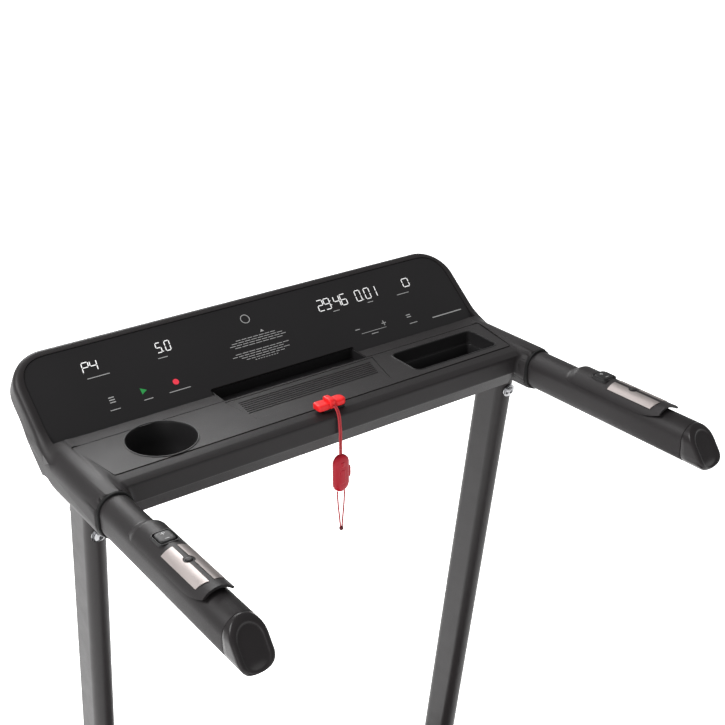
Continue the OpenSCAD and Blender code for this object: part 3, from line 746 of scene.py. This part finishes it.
def capsule(at, low, high, a, b, n=36, m=22):
    """An upright pill: its half width is a * sqrt(1 - e^2) over each end, and its section is a superellipse."""
    t = np.linspace(0, 2 * np.pi, n, endpoint=False)
    cx = np.sign(np.cos(t)) * np.abs(np.cos(t)) ** 0.8
    cy = np.sign(np.sin(t)) * np.abs(np.sin(t)) ** 0.8
    u = np.linspace(-1, 1, m)
    reach = min(a, (high - low) / 2)
    z = np.sign(u) * ((high - low) / 2 - reach) * np.minimum(1, np.abs(u) / 0.35) + np.where(
        np.abs(u) > 0.35, np.sign(u) * reach * np.sin((np.abs(u) - 0.35) / 0.65 * np.pi / 2), 0)
    e = np.where(np.abs(u) > 0.35, (np.abs(u) - 0.35) / 0.65, 0)
    w = np.cos(e * np.pi / 2 * 0.98)
    x, y = at[0] + a * w[:, None] * cx, at[1] + b * np.sqrt(w)[:, None] * cy
    return skin(np.stack([x, y, (low + high) / 2 + z[:, None] + 0 * cx], -1))


LID = ((-321, -24), (321, -24), (306, -113), (-306, -113))
MAT = ((-112, -28.5), (124, -28.5), (106, -95), (-101, -90))
PANEL_W, PANEL_LOW, PANEL_TOP, PANEL_R = 334.5, 0.8, 123.0, 40.0


def panel_outline(gap=0.0):
    """The display sheet: straight foot, and rounded upper corners."""
    wide, low, top = PANEL_W - gap, PANEL_LOW + gap, PANEL_TOP - gap
    corners = [(-wide, low), (wide, low), (wide, top), (-wide, top)]
    return round_corners(corners, [2.0, 2.0, PANEL_R, PANEL_R], 14)


def body_field(x, y, z, edge):
    """Negative inside the console casing: shelf, arms and hood, joined with soft fillets."""
    ax = np.abs(x)
    h = y * FACE_UP[1] + z * FACE_UP[2]
    d = y * FACE_OUT[1] + z * FACE_OUT[2]
    slope = math.atan2(3.5, 21)
    bevel = (z - SHELF_TOP) * math.cos(slope) - (y - BEVEL_AT) * math.sin(slope)
    shelf = soft_max(z - SHELF_TOP, bevel, 2.0)
    shelf = soft_max(shelf, SHELF_FRONT - y, 5)
    shelf = soft_max(shelf, SHELF_FOOT - z, 4)
    shelf = np.maximum(np.maximum(shelf, ax - SHELF_HALF), -26 - d)
    middle = BAR_Z - y * math.tan(BAR_RISE)
    arm = np.hypot(ax - BAR_X, np.maximum(np.abs(z - middle) - 6, 0)) - ARM_R
    arm = soft_max(arm, ARM_FRONT - y, 5)
    arm = soft_max(arm, -26 - d, 8)
    qx, qh = ax - HOOD_HALF + HOOD_R, np.abs(h - HOOD_MIDDLE) - HOOD_REACH + HOOD_R
    outline = np.hypot(np.maximum(qx, 0), np.maximum(qh, 0)) + np.minimum(np.maximum(qx, qh), 0) - HOOD_R
    hood = soft_max(outline, d - 0.6, edge)
    hood = soft_max(hood, HOOD_BACK - d, 3)
    hood = np.maximum(hood, -16 - h)
    return soft_min(soft_min(arm, hood, 16), shelf, 6)


def body_rings(edge):
    """Rings of the console casing. For each x, the outermost point on rays about a centre line is found by halving."""
    step = np.sin(np.radians(np.linspace(0, 89.3, 24)))
    tips = [BAR_X + ARM_R * step, HOOD_HALF - 14 + 14 * step[::2]]
    x = np.concatenate(tips + [np.arange(286, 325, 1.6), [270, 240, 200, 160, 120, 80, 40]])
    x = np.unique(np.round(x, 2))
    x = x[np.concatenate([[True], np.diff(x) > 0.12])]
    x = np.concatenate([-x[::-1], [0], x])
    centre_z = -15 - 11 * np.clip((np.abs(x) - 338) / 11, 0, 1)
    outlines = (
        [(-136, -27), (-136, 1.5), (-113, 5), (0, 5), (0, 2), (104.8, 81.3), (121.3, 60), (16.5, -21), (12, -27)],
        [(-150, -53), (-150, 8.4), (0, 4.4), (104.8, 81.3), (121.3, 60), (16.5, -40), (0, -57)],
    )
    angles = []
    for line in outlines:
        line = np.array(line, float)
        for a, b in zip(line, np.roll(line, -1, 0)):
            length = np.linalg.norm(b - a)
            close = np.arange(0, min(9, length), 0.9)
            t = np.concatenate([np.arange(0, length, 3.5), close, length - close])
            spots = a + (b - a) * t[:, None] / length
            angles.append(np.arctan2(spots[:, 1] + 15, spots[:, 0] - 5))
    angles = np.unique(np.concatenate(angles))
    angles = angles[np.concatenate([[True], np.diff(angles) > 0.003])]
    c, s = np.cos(angles), np.sin(angles)
    reach = np.arange(0, 270, 2.0)
    px = x[:, None, None]
    field = body_field(px, 5 + reach * c[:, None], centre_z[:, None, None] + reach * s[:, None], edge)
    last = field.shape[2] - 1 - np.argmax(field[:, :, ::-1] < 0, axis=2)
    low, high = reach[last], reach[last] + 2.0
    for _ in range(16):
        mid = (low + high) / 2
        solid = body_field(px[:, :, 0], 5 + mid * c, centre_z[:, None] + mid * s, edge) < 0
        low, high = np.where(solid, mid, low), np.where(solid, high, mid)
    return np.stack([x[:, None] + 0 * low, 5 + low * c, centre_z[:, None] + low * s], -1)


class TREADMILL_OT_console(Operator):
    """Console casing with its hood and arms, the lid, the display sheet and the underside"""

    bl_idname = "treadmill.console"
    bl_label = "Console"

    def execute(self, context):
        edge = context.scene.treadmill_sizes.rim_round / MM
        shell = piece("console_casing", [skin(body_rings(edge))], "casing", "base", "shell", ("console_upper_shell",))
        lid = round_corners(LID, 3.0)
        tray = round_rect(*TRAY, 9)
        slot_box = round_rect(*SLOT, 3)
        cut(shell, [
            prism(panel_outline(), on_face, -1.8, 20),
            prism(inset(lid, -0.2), on_plan, 3.0, 9),
            prism(ring_plan(47.5, 64, CUP_AT), on_plan, -60, 4),
            prism(inset(tray, -3), on_plan, -60, 4),
            prism(slot_box, on_plan, -20, 7.6),
            prism(round_rect((-22, -125), (10, -113.5), 2), on_plan, -20, 7.5),
        ])
        mat_hole = round_corners(MAT, 1.0)
        holes = [ring_plan(45.4, 72, CUP_AT), tray, mat_hole]
        cover = plate([inset(lid, 0.9)] + holes, on_plan, 2.9, 5.0)
        piece("shelf_lid", [cover], "casing", "base", "shell", bevel=0.5)
        mat = inset(mat_hole, 0.7)
        ribs = []
        for i in range(7):
            y = -40.0 - 5.2 * i
            ribs.append(skin(bar_rings(-98 - 0.6 * i, 112 - 1.6 * i, y, 1.1)))
        piece("tablet_mat", [plate([mat], on_plan, 2.9, 4.5)] + ribs, "casing", "base", "dark_plastic", bevel=0.3)
        sheet = plate([panel_outline(0.5), round_rect((-111, -5), (119, 13.2), 3)], on_face, -1.9, -0.5)
        piece("display_sheet", [sheet], "face", "base", "dark_plastic", ("display_panel",), bevel=0.4)
        pocket = [slot_box, slot_box, inset(slot_box, 1.5), inset(slot_box, 1.6)]
        pocket = well(pocket, [-12.5, 4.0, 4.0, -10.5])
        piece("tablet_slot", [pocket], "dark", "base", "dark_plastic", ("tablet_rest",))
        coated("console_lower_shell", "console_underside", "casing", 1.6)
        return {"FINISHED"}


def bar_rings(x0, x1, y, r):
    """A small half-round rib along X that stands on the mat: rings of a circle, closed by shrunken ends."""
    t = np.linspace(0, 2 * np.pi, 10, endpoint=False)
    x = np.array([x0, x0 + r * 0.6, x1 - r * 0.6, x1])
    w = np.array([0.5, 1, 1, 0.5])[:, None] * r
    return np.stack([x[:, None] + 0 * t, y + w * np.cos(t), 4.4 + w * np.sin(t) * 0.9], -1)


class TREADMILL_OT_pockets(Operator):
    """Cup holder and storage tray"""

    bl_idname = "treadmill.pockets"
    bl_label = "Pockets"

    def execute(self, context):
        radii = [37.5, 45.5, 46.0, 46.2, 46.0, 45.2, 44.4, 43.9, 43.4, 40.2, 36.6, 34.0, 28.0]
        heights = [-43.5, 3.5, 5.0, 5.4, 5.7, 5.9, 5.7, 5.1, 3.0, -20.0, -38.0, -41.4, -42.0]
        cup = well([ring_plan(r, 96, CUP_AT) for r in radii], heights)
        piece("cup_well", [cup], "dark", "base", "shell", ("cup_holder",))
        tray = round_rect(*TRAY, 9)
        steps = [(0.6, -35.5), (-1.8, 3.6), (-2.4, 5.1), (-1.6, 5.5), (-0.4, 5.3), (0.3, 4.4), (1.2, -11), (1.8, -12.4)]
        deep = round_rect((153.5, -86), (289, -42.5), 6)
        rings = [inset(tray, by) for by, _ in steps] + [deep, inset(deep, 0.8), inset(deep, 2.5), inset(deep, 5)]
        heights = [z for _, z in steps] + [-12.8, -14, -31, -32.6]
        piece("storage_well", [well(rings, heights)], "dark", "base", "shell", ("storage_tray",))
        return {"FINISHED"}


class TREADMILL_OT_handlebars(Operator):
    """Handlebar tubes, gaskets, end caps, and pulse housings with their plates"""

    bl_idname = "treadmill.handlebars"
    bl_label = "Handlebars"

    def execute(self, context):
        for word, side in SIDES:
            tube = [(-2.0, 0), (-60, 0), (-150, 0), (-300, 0)]
            tube += [(-BAR_LEN + 1.4, 0), (-BAR_LEN + 0.5, 0.35), (-BAR_LEN + 0.1, 0.9)]
            tube = skin(bar_loft(side, tube))
            piece(word + "_bar_tube", [tube], "grip", "base", "grip_coat", (word + "_handlebar",))
            cap = skin(cap_rings(side))
            piece(word + "_cap", [cap], "casing_smooth", "base", "shell", (word + "_end_cap",), sharp=45)
            housing = slab(*saddle(side))
            piece(word + "_saddle", [housing], "casing", "base", "shell", (word + "_pulse_housing",), sharp=40)
        ring = [(-149, 2.5), (-152.4, 2.5), (-153.2, 1.9), (-153.6, 0.6), (-153.2, 0.0), (-149, 0.0)]
        rings = [band(bar_loft(side, [(y, -by) for y, by in ring])) for _, side in SIDES]
        # The gasket rings are real rings round the tubes, but their near-black gap finish is painted shade for the
        # shadow gap at each arm's end
        piece("gaskets", rings, "gap", "base", "rubber", ("collars",))
        on_bar = lambda side: lambda x, y, z: bar_points(side, x, y, z)
        bosses = [pebble((0, -328.7, 34.6), (4.3, 4.3, 1.6), 0.6, 1.0, on_bar(side)) for _, side in SIDES]
        piece("pulse_bosses", bosses, "casing", "base", "shell")
        plates = [slab(*plate_patch(side, half)) for _, side in SIDES for half in (-1, 1)]
        piece("pulse_sheets", plates, "plates", "base", "pulse_steel", ("pulse_plates",))
        return {"FINISHED"}


class TREADMILL_OT_key(Operator):
    """Pull key: a flat left wing, a raised spine and a round right wing"""

    bl_idname = "treadmill.key"
    bl_label = "Safety key"

    def execute(self, context):
        parts = [
            pebble((-22.5, -119, 11.0), (8.6, 8.4, 4.4), 0.3, 0.35),
            pebble((-10.5, -118.5, 13.0), (4.7, 9.6, 6.6), 0.4, 0.45),
            pebble((2.6, -118.5, 11.4), (9.8, 8.6, 4.6), 0.45, 0.75),
            pebble((-6, -119, 2), (8.9, 2.4, 8.8), 0.2, 0.2),
        ]
        piece("key_body", parts, "key_red", "key", "key_red", ("safety_key",))
        return {"FINISHED"}


class TREADMILL_OT_rockers(Operator):
    """Plus and minus rocker on each pulse housing, with its dark surround and white marks"""

    bl_idname = "treadmill.rockers"
    bl_label = "Rockers"

    def execute(self, context):
        for word, side in SIDES:
            place = lambda x, y, z: bar_points(side, x, y, z)
            pad = [pebble((0, -276, 32.2), (10.0, 11.2, 3.9), 0.35, 0.5, place)]
            piece(word + "_rocker_pad", pad, "dark", word + "_rocker", "dark_plastic", (word + "_rocker",))
            flat = lambda spots, d: bar_points(side, spots[:, 0], spots[:, 1], d)
            marks = [
                prism(round_rect((-2.6, -271.4), (2.6, -270.4), 0.3), flat, 34.8, 36.35),
                prism(round_rect((-0.5, -273.5), (0.5, -268.3), 0.3), flat, 34.8, 36.3),
                prism(round_rect((-2.6, -281.9), (2.6, -280.9), 0.3), flat, 34.8, 36.35),
            ]
            piece(word + "_rocker_marks", marks, "ink_white", word + "_rocker", "dark_plastic")
            rim = [band(np.stack([bar_points(side, o[:, 0], o[:, 1], z) for o, z in rocker_rim()]))]
            piece(word + "_rocker_rim", rim, "dark", "base", "dark_plastic")
        return {"FINISHED"}


def rocker_rim():
    """Outlines and heights of the raised surround: out, over and back down inside."""
    outer = round_rect((-12.6, -290.0), (12.6, -262.6), 6.5)
    for by, z in ((0.0, 31.4), (0.1, 34.6), (0.7, 35.3), (1.3, 35.3), (1.75, 34.8), (1.8, 31.4)):
        yield inset(outer, by), z


SEGMENTS = {
    "0": "abcdef", "1": "bc", "2": "abged", "4": "fgbc",
    "5": "afgcd", "6": "afgedc", "9": "abcdfg", "P": "abefg",
}


def seven(text, x0, x1, low, high, thick=1.25, slant=0.12):
    """Outlines of seven-segment figures that fill a box on the display face; a dot or colon is half as wide."""
    wide = sum(0.45 if c in ".:" else 1.0 for c in text)
    cell = (x1 - x0) / (wide - 0.22)
    w, h, out, x = cell * 0.78, high - low, [], x0
    for char in text:
        if char in ".:":
            for y in ([0.0] if char == "." else [0.28, 0.66]):
                corner = np.array([x - 0.1 * cell, low + y * h])
                out.append(round_rect(corner, corner + thick, 0.3))
            x += 0.45 * cell
            continue
        ends = {"a": (0, 1, 1, 1), "g": (0, 0.5, 1, 0.5), "d": (0, 0, 1, 0), "b": (1, 0.5, 1, 1), "c": (1, 0, 1, 0.5),
            "e": (0, 0, 0, 0.5), "f": (0, 0.5, 0, 1)}
        for segment in SEGMENTS[char]:
            ax, ay, bx, by = ends[segment]
            a, b = np.array([x + ax * w, low + ay * h]), np.array([x + bx * w, low + by * h])
            along = (b - a) / np.linalg.norm(b - a)
            side = np.array([-along[1], along[0]]) * thick / 2
            a, b = a + along * thick * 0.35, b - along * thick * 0.35
            tip = along * thick / 2
            out.append(np.array([a, a + tip - side, b - tip - side, b, b - tip + side, a + tip + side]))
        x += cell
    return [np.stack([o[:, 0] + slant * (o[:, 1] - low), o[:, 1]], -1) for o in out]


def bar(x0, x1, h, tall=1.1):
    """A short printed line on the display face: a long thin round-ended outline."""
    return round_rect((x0, h - tall / 2), (x1, h + tall / 2), tall * 0.45, 3)


class TREADMILL_OT_display(Operator):
    """Readings, key marks and plain lines printed on the display sheet"""

    bl_idname = "treadmill.display"
    bl_label = "Display marks"

    def execute(self, context):
        raised = lambda outlines, top=-0.28: [prism(o, on_face, -0.56, top) for o in outlines]
        figures = (
            seven("P4", -259, -239, 84, 98.5) + seven("5.0", -155, -135, 84, 98.5) + seven("29:46", 99, 148, 79.5, 97)
            + seven("0.01", 165, 201, 79, 96.5) + seven("0", 251, 262, 81.5, 95)
        )
        under_readings = ((-258, -227, 75), (-158, -144, 76), (119, 130, 74), (179, 189, 73), (232, 254, 72))
        under_keys = ((-201, -188, 25), (-165, -134, 25), (-248, -234, 24), (158, 170, 23.5), (226, 240, 22))
        speed_keys = ((268, 323, 21, 1.6), (143, 187, 28, 0.7), (136, 144, 36, 1.2), (182, 190, 35, 1.2))
        lines = [bar(*spot) for spot in under_readings + under_keys + speed_keys]
        lines += [round_rect((185.4, 31), (186.6, 39), 0.3)]
        lines += [bar(-244, -236, h, 1.4) for h in (34.5, 38, 41.5)] + [bar(227, 235, h, 1.4) for h in (33, 36.5)]
        rows = ((70, -44, 20), (66.5, -52, 30), (63, -56, 34), (59.5, -50, 27))
        rows += ((50, -54, 32), (46.5, -60, 22), (43, -48, 30), (39.5, -42, 20), (36, -30, 8))
        for k, (h, x0, x1) in enumerate(rows):
            stops = np.linspace(x0, x1, 8 + k % 3)
            lines += [bar(a, b - 1.4, h, 0.9) for a, b in zip(stops[:-1], stops[1:])]
        lines += [np.array([(-3, 74), (3, 74), (0, 78)], float)]
        start = np.array([(-199.5, 33.5), (-191.5, 38), (-199.5, 42.5)], float)
        steps = ((7.0, -0.56), (7.0, -0.3), (5.9, -0.3), (5.9, -0.56))
        loop = band(np.stack([on_face(ring_plan(r, 48, (-15, 99)), d) for r, d in steps]))
        marks = (
            ("figures", raised(figures), "lit_white"),
            ("printed_lines", raised(lines, -0.38), "ink_white"),
            ("start_mark", raised([start]), "lit_green"),
            ("stop_mark", raised([ring_plan(4.2, 32, (-150, 37.5))]), "lit_red"),
            ("plain_badge", [loop], "ink_white"),
        )
        for name, parts, finish in marks:
            piece(name, parts, finish, "base", "dark_plastic")
        return {"FINISHED"}


COATS = (
    ("left_boot", "casing", 3.0), ("right_boot", "casing", 3.0), ("motor_hood", "casing", 5.0),
    ("motor_pan", "casing", 1.0), ("left_foot_rail", "casing", 1.5), ("right_foot_rail", "casing", 1.5),
    ("left_rear_cap", "casing", 5.0), ("right_rear_cap", "casing", 5.0), ("left_wheel", "tyre", 1.6),
    ("right_wheel", "tyre", 1.6), ("base_feet", "rubber", 1.0), ("rear_feet", "rubber", 2.5),
    ("base_frame", "steel", 0.8), ("deck_frame", "steel", 0.8), ("rear_legs", "steel", 0.8),
    ("motor_plate", "steel", 0.5), ("console_beam", "steel", 0.8), ("running_board", "board", 0.8),
    ("running_belt", "belt", 0.3), ("mains_inlet", "dark", 0.8), ("power_switch", "key_red", 0.8),
    ("circuit_breaker", "dark", 0.5), ("motor", "iron", 1.2), ("key_socket", "dark", 0.6),
    ("strut_rod", "chrome", 0.5), ("strut_cylinder", "strut_paint", 0.8), ("drive_belt", "rubber", 0.2),
)


class TREADMILL_OT_lower_parts(Operator):
    """Frame, deck, drive and mouldings below the console, with their edges rounded, and the foot rails' ribs"""

    bl_idname = "treadmill.lower_parts"
    bl_label = "Base and deck"

    def execute(self, context):
        for node, finish, edge in COATS:
            coated(node, node + "_coat", finish, edge)
        ribs = []
        for side in (-1, 1):
            for k in range(6):
                t = np.linspace(0, 2 * np.pi, 12, endpoint=False)
                y = np.array([-733.0, -731.0, 376.0, 378.0])
                w = np.array([0.5, 1, 1, 0.5])[:, None]
                x = side * (222 + 12 * k) + 1.7 * w * np.cos(t)
                ribs.append(skin(np.stack([x, y[:, None] + 0 * t, 170.0 + 0.9 * w * np.sin(t)], -1) * MM))
        piece("foot_rail_ribs", ribs, "rubber", "deck", "rubber", in_metres=True)
        return {"FINISHED"}


def bar_loft(side, steps, w=BAR_W, h=BAR_H):
    """Rings of the bar's flat oval at each (y, inset)."""
    rings = []
    for y, by in steps:
        x, z = flat_oval(w - 2 * by, h - 2 * by)
        rings.append(bar_points(side, x, y, z))
    return np.stack(rings)


def cap_reach(z):
    """How far the cap's slanted face stands from the seam at a height: a plane that rounds back at its foot."""
    return 4.5 + 0.70 * (25 - z) - 13.0 * (np.clip(-6 - z, 0, 21) / 21) ** 2.4


def cap_rings(side):
    """Rings from the seam to the slanted rim, over the rim, and into the dish."""
    rings = []
    for share, by in ((0.0, 0.9), (0.02, 0.35), (0.05, 0.0), (0.3, 0.0), (0.6, 0.0), (0.85, 0.0), (0.95, 0.1)):
        x, z = flat_oval(BAR_W - 2 * by, BAR_H - 2 * by, 96)
        rings.append(bar_points(side, x, -BAR_LEN - 0.3 - share * cap_reach(z), z))
    crest = ((0.5, 0.6), (1.4, 1.6), (2.8, 2.6), (4.2, 3.0), (5.4, 2.8), (6.4, 2.0), (7.4, 1.2))
    dish = ((8.8, 0.9), (12, 1.0), (16, 1.2), (19.5, 1.3))
    for by, swell in crest + dish:
        x, z = flat_oval(BAR_W - 2 * by, BAR_H - 2 * by, 96)
        rings.append(bar_points(side, x, -BAR_LEN - 0.3 - cap_reach(z) - swell, z))
    return np.stack(rings)


def saddle_section(v, lift, foot):
    """(x, z) across the saddle: a circle's arc, cut off at the height of its feet, that lift grows from the bar."""
    r = BAR_W / 2 + 0.1 + 2.65 * lift
    rise = 6.25 + 5.2 * lift
    side = rise - foot
    total = math.pi * r + 2 * side
    a = (v * total - side) / r
    return -r * np.cos(a), rise + r * np.sin(a)


def saddle(side):
    """Outer and inner grids of the pulse housing: it rises from the bar near the console and ends in an open lip."""
    y = np.concatenate([np.linspace(-222, -240, 12), np.linspace(-246, -374, 30), np.linspace(-378, -388, 8)])
    v = np.linspace(0, 1, 49)
    rise = np.clip((-222 - y) / 17, 0, 1)
    rise = rise * rise * (3 - 2 * rise)
    lip = np.clip((-y - 376) / 12, 0, 1) ** 2
    outer, inner = [], []
    for k, yk in enumerate(y):
        foot = SADDLE_FOOT + 9.0 * np.clip((-yk - 350) / 38, 0, 1) ** 2
        x, z = saddle_section(v, 0.04 + 0.96 * rise[k] + 0.04 * lip[k], foot)
        outer.append(bar_points(side, x, yk, z))
        x, z = saddle_section(v, 0.62 * np.clip((-yk - 370) / 6, 0, 1), foot)
        inner.append(bar_points(side, x, yk, z))
    return np.stack(outer), np.stack(inner)


def plate_patch(side, half):
    """A pulse plate: an arc strip on the saddle, notched round the boss and cut slantwise at the end nearer the cap."""
    u = np.linspace(0, 1, 60)
    v = np.linspace(0, 1, 14)
    near = 7.0 + 9.0 * np.clip(1 - ((u - 0.42) / 0.085) ** 2, 0, 1) ** 0.7
    far = 44.0
    ends = np.clip(np.minimum(u, 1 - u) / 0.03, 0, 1)
    angle = near[:, None] + (far - near)[:, None] * v
    y = -298 - 73 * u[:, None] - np.where(u[:, None] > 0.9, (u[:, None] - 0.9) / 0.1 * 4 * (1 - v), 0)
    a = np.radians(angle) * half
    r = 23.5 + 0.55
    grid = lambda rr: bar_points(side, rr * np.sin(a), y, 11.5 + rr * np.cos(a))
    return grid(r), grid(r - 0.9)


class TREADMILL_PT_sidebar(Panel):
    """Buttons and settings for each group of pieces"""

    bl_idname = "TREADMILL_PT_sidebar"
    bl_label = "Folding treadmill"
    bl_space_type = "VIEW_3D"
    bl_region_type = "UI"
    bl_category = "Treadmill"

    def draw(self, context):
        for group in (context.scene.treadmill_sizes, context.scene.treadmill_colours):
            for name in type(group).__annotations__:
                self.layout.prop(group, name)
        for step in STEPS:
            self.layout.operator("treadmill." + step)


STEPS = ("stage", "cords", "console", "pockets", "handlebars", "key", "rockers", "display", "lower_parts")
CLASSES = (
    TreadmillSizes,
    TreadmillColours,
    TREADMILL_OT_stage,
    TREADMILL_OT_cords,
    TREADMILL_OT_console,
    TREADMILL_OT_pockets,
    TREADMILL_OT_handlebars,
    TREADMILL_OT_key,
    TREADMILL_OT_rockers,
    TREADMILL_OT_display,
    TREADMILL_OT_lower_parts,
    TREADMILL_PT_sidebar,
)


def register():
    for cls in CLASSES:
        bpy.utils.register_class(cls)
    bpy.types.Scene.treadmill_sizes = PointerProperty(type=TreadmillSizes)
    bpy.types.Scene.treadmill_colours = PointerProperty(type=TreadmillColours)


def unregister():
    del bpy.types.Scene.treadmill_colours
    del bpy.types.Scene.treadmill_sizes
    for cls in reversed(CLASSES):
        bpy.utils.unregister_class(cls)


def main():
    register()
    make_finishes()
    for name in STEPS:
        getattr(bpy.ops.treadmill, name)()
    looks = {
        "shell": "casing", "grip_coat": "grip", "painted_steel": "steel", "dark_plastic": "dark",
        "rubber": "rubber", "chrome": "chrome", "zinc_steel": "zinc", "pulse_steel": "plates",
        "circuit_board": "circuit", "key_red": "key_red", "cord_red": "cord_red", "clip_red": "clip_red",
        "wheel_plastic": "tyre", "strut_paint": "strut_paint", "motor_iron": "iron", "running_belt": "belt",
        "board": "board",
    }
    slots = {s["node"]: s["material_slot"] for s in frame["record"]["subparts"]}
    for node, obj in frame["nodes"].items():
        obj.data.materials.clear()
        obj.data.materials.append(Finish.made[looks[slots[node]]].material)
    boxes = {"cad": CAD_BOX, "visual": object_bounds()}
    size = {name: [list(map(float, corner)) for corner in box] for name, box in boxes.items()}


if __name__ == "__main__":
    main()
